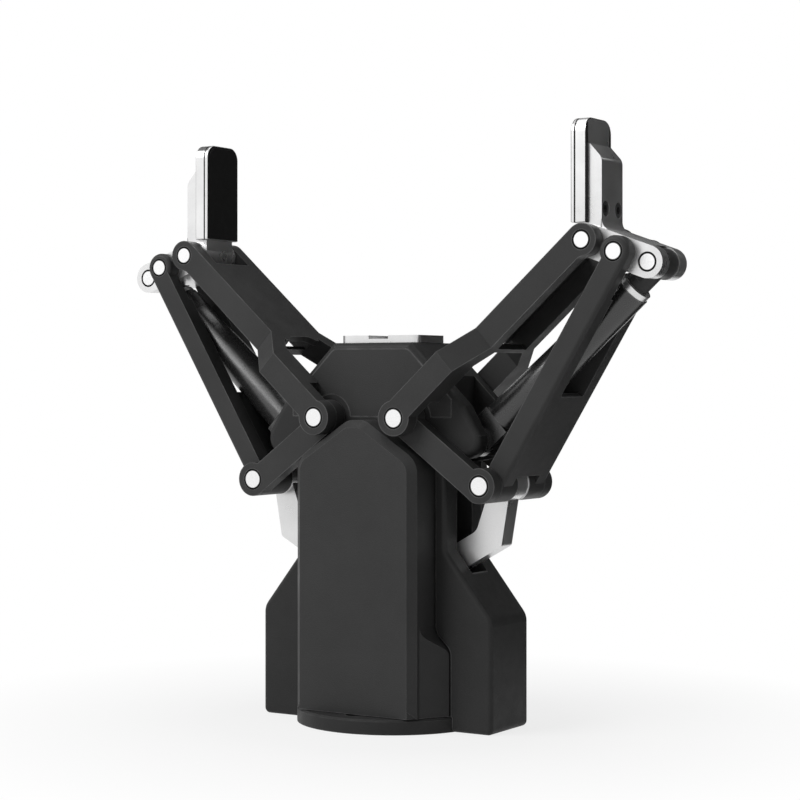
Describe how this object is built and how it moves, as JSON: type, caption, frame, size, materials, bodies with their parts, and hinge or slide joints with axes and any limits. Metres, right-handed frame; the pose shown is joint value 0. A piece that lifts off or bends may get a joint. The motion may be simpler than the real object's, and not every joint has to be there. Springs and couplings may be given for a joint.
{
  "type": "robot_gripper",
  "caption": "Electric two-finger adaptive parallel robot gripper with linked fingers, rubber pads and a round mounting flange",
  "frame": {"origin": "middle of the flange's mounting face", "axes": "+X the way the right finger opens, +Y towards the rear cover, +Z from the flange towards the fingertips"},
  "size_m": [0.213, 0.067, 0.2037],
  "materials": {
    "housing_black": "fine matt coat",
    "cover_black": "fine matt moulding",
    "link_black": "matt anodised",
    "silver": "bead blasted",
    "steel": "turned",
    "pad_rubber": "moulded",
    "bronze": "bearing bronze",
    "board_green": "solder mask",
    "motor_grey": "satin",
    "screw_black": "black oxide"
  },
  "bodies": {
    "body": {"base_flange": "housing_black", "flange_screws": "screw_black", "main_housing": "housing_black", "front_cover": "cover_black", "rear_cover": "cover_black", "connector_socket": "steel", "upper_housing": "housing_black", "upper_panels": "cover_black", "top_plate": "silver", "body_pivot_pins": "silver", "strut_anchor_pins": "steel", "drive_motor": "motor_grey", "gearbox": "steel", "screw_plates": "silver", "screw_bearings": "steel", "guide_rods": "steel", "control_board": "board_green"},
    "screw": {"lead_screw": "steel", "screw_coupling": "silver"},
    "crosshead": {"crosshead": "silver", "screw_nut": "bronze", "slide_bushes": "bronze"},
    "right_inner_link_body": {"right_inner_link": "link_black", "right_finger_pin": "silver"},
    "right_crank_body": {"right_cranks": "link_black", "right_knee_pin": "silver", "right_knee_washers": "silver"},
    "right_outer_link_body": {"right_outer_link": "link_black", "right_outer_pin": "silver"},
    "right_strut_body": {"right_strut_tube": "link_black", "right_strut_collar": "silver", "right_strut_rod": "link_black"},
    "right_finger_body": {"right_finger_base": "silver", "right_fingertip_block": "silver", "right_finger_pad": "pad_rubber", "right_fingertip_screws": "screw_black", "right_strut_pin": "silver"},
    "right_drive_rod_body": {"right_drive_rod": "silver", "right_rod_pin": "steel"},
    "left_inner_link_body": {"left_inner_link": "link_black", "left_finger_pin": "silver"},
    "left_crank_body": {"left_cranks": "link_black", "left_knee_pin": "silver", "left_knee_washers": "silver"},
    "left_outer_link_body": {"left_outer_link": "link_black", "left_outer_pin": "silver"},
    "left_strut_body": {"left_strut_tube": "link_black", "left_strut_collar": "silver", "left_strut_rod": "link_black"},
    "left_finger_body": {"left_finger_base": "silver", "left_fingertip_block": "silver", "left_finger_pad": "pad_rubber", "left_fingertip_screws": "screw_black", "left_strut_pin": "silver"},
    "left_drive_rod_body": {"left_drive_rod": "silver", "left_rod_pin": "steel"}
  },
  "joints": [
    {"name": "right_inner_hinge", "type": "hinge", "parent": "body", "child": "right_inner_link_body", "pos_m": [0.0161, 0, 0.1053], "axis": [0, -1, 0], "range_deg": [0, 53.9]},
    {"name": "right_crank_hinge", "type": "hinge", "parent": "body", "child": "right_crank_body", "pos_m": [0.0161, 0, 0.1053], "axis": [0, -1, 0], "range_deg": [0, 36.64]},
    {"name": "right_outer_hinge", "type": "hinge", "parent": "right_crank_body", "child": "right_outer_link_body", "pos_m": [0.0457, 0, 0.0832], "axis": [0, -1, 0], "range_deg": [0, 17.22]},
    {"name": "right_rod_hinge", "type": "hinge", "parent": "right_crank_body", "child": "right_drive_rod_body", "pos_m": [0.0457, 0, 0.0832], "axis": [0, -1, 0], "range_deg": [-53.92, 0]},
    {"name": "right_strut_hinge", "type": "hinge", "parent": "body", "child": "right_strut_body", "pos_m": [0.0369, 0, 0.0978], "axis": [0, -1, 0], "range_deg": [0, 54]},
    {"name": "right_finger_hinge", "type": "hinge", "parent": "right_inner_link_body", "child": "right_finger_body", "pos_m": [0.0804, 0, 0.1633], "axis": [0, -1, 0], "range_deg": [-54, 0]},
    {"name": "left_inner_hinge", "type": "hinge", "parent": "body", "child": "left_inner_link_body", "pos_m": [-0.0161, 0, 0.1053], "axis": [0, 1, 0], "range_deg": [0, 54]},
    {"name": "left_crank_hinge", "type": "hinge", "parent": "body", "child": "left_crank_body", "pos_m": [-0.0161, 0, 0.1053], "axis": [0, 1, 0], "range_deg": [0, 36.64]},
    {"name": "left_outer_hinge", "type": "hinge", "parent": "left_crank_body", "child": "left_outer_link_body", "pos_m": [-0.0457, 0, 0.0832], "axis": [0, 1, 0], "range_deg": [0, 17.22]},
    {"name": "left_rod_hinge", "type": "hinge", "parent": "left_crank_body", "child": "left_drive_rod_body", "pos_m": [-0.0457, 0, 0.0832], "axis": [0, 1, 0], "range_deg": [-53.92, 0]},
    {"name": "left_strut_hinge", "type": "hinge", "parent": "body", "child": "left_strut_body", "pos_m": [-0.0369, 0, 0.0978], "axis": [0, 1, 0], "range_deg": [0, 54]},
    {"name": "left_finger_hinge", "type": "hinge", "parent": "left_inner_link_body", "child": "left_finger_body", "pos_m": [-0.0804, 0, 0.1633], "axis": [0, 1, 0], "range_deg": [-54, 0]},
    {"name": "crosshead_slide", "type": "slide", "parent": "body", "child": "crosshead", "axis": [0, 0, 1], "range_m": [0, 0.03212]},
    {"name": "screw_spin", "type": "hinge", "parent": "body", "child": "screw", "pos_m": [0, 0, 0.0665], "axis": [0, 0, 1], "range_deg": [0, 1442.3]}
  ],
  "couplings": [
    {"joint": "right_crank_hinge", "follows": "right_inner_hinge", "ratio": 0.678},
    {"joint": "right_outer_hinge", "follows": "right_inner_hinge", "ratio": 0.3176},
    {"joint": "right_rod_hinge", "follows": "right_inner_hinge", "ratio": -0.9985},
    {"joint": "right_strut_hinge", "follows": "right_inner_hinge", "ratio": 1},
    {"joint": "right_finger_hinge", "follows": "right_inner_hinge", "ratio": -1},
    {"joint": "left_inner_hinge", "follows": "right_inner_hinge", "ratio": 1},
    {"joint": "left_crank_hinge", "follows": "right_inner_hinge", "ratio": 0.678},
    {"joint": "left_outer_hinge", "follows": "right_inner_hinge", "ratio": 0.3176},
    {"joint": "left_rod_hinge", "follows": "right_inner_hinge", "ratio": -0.9985},
    {"joint": "left_strut_hinge", "follows": "right_inner_hinge", "ratio": 1},
    {"joint": "left_finger_hinge", "follows": "right_inner_hinge", "ratio": -1},
    {"joint": "crosshead_slide", "follows": "right_inner_hinge", "m_per_rad": 0.03404},
    {"joint": "screw_spin", "follows": "right_inner_hinge", "ratio": 26.74}
  ]
}
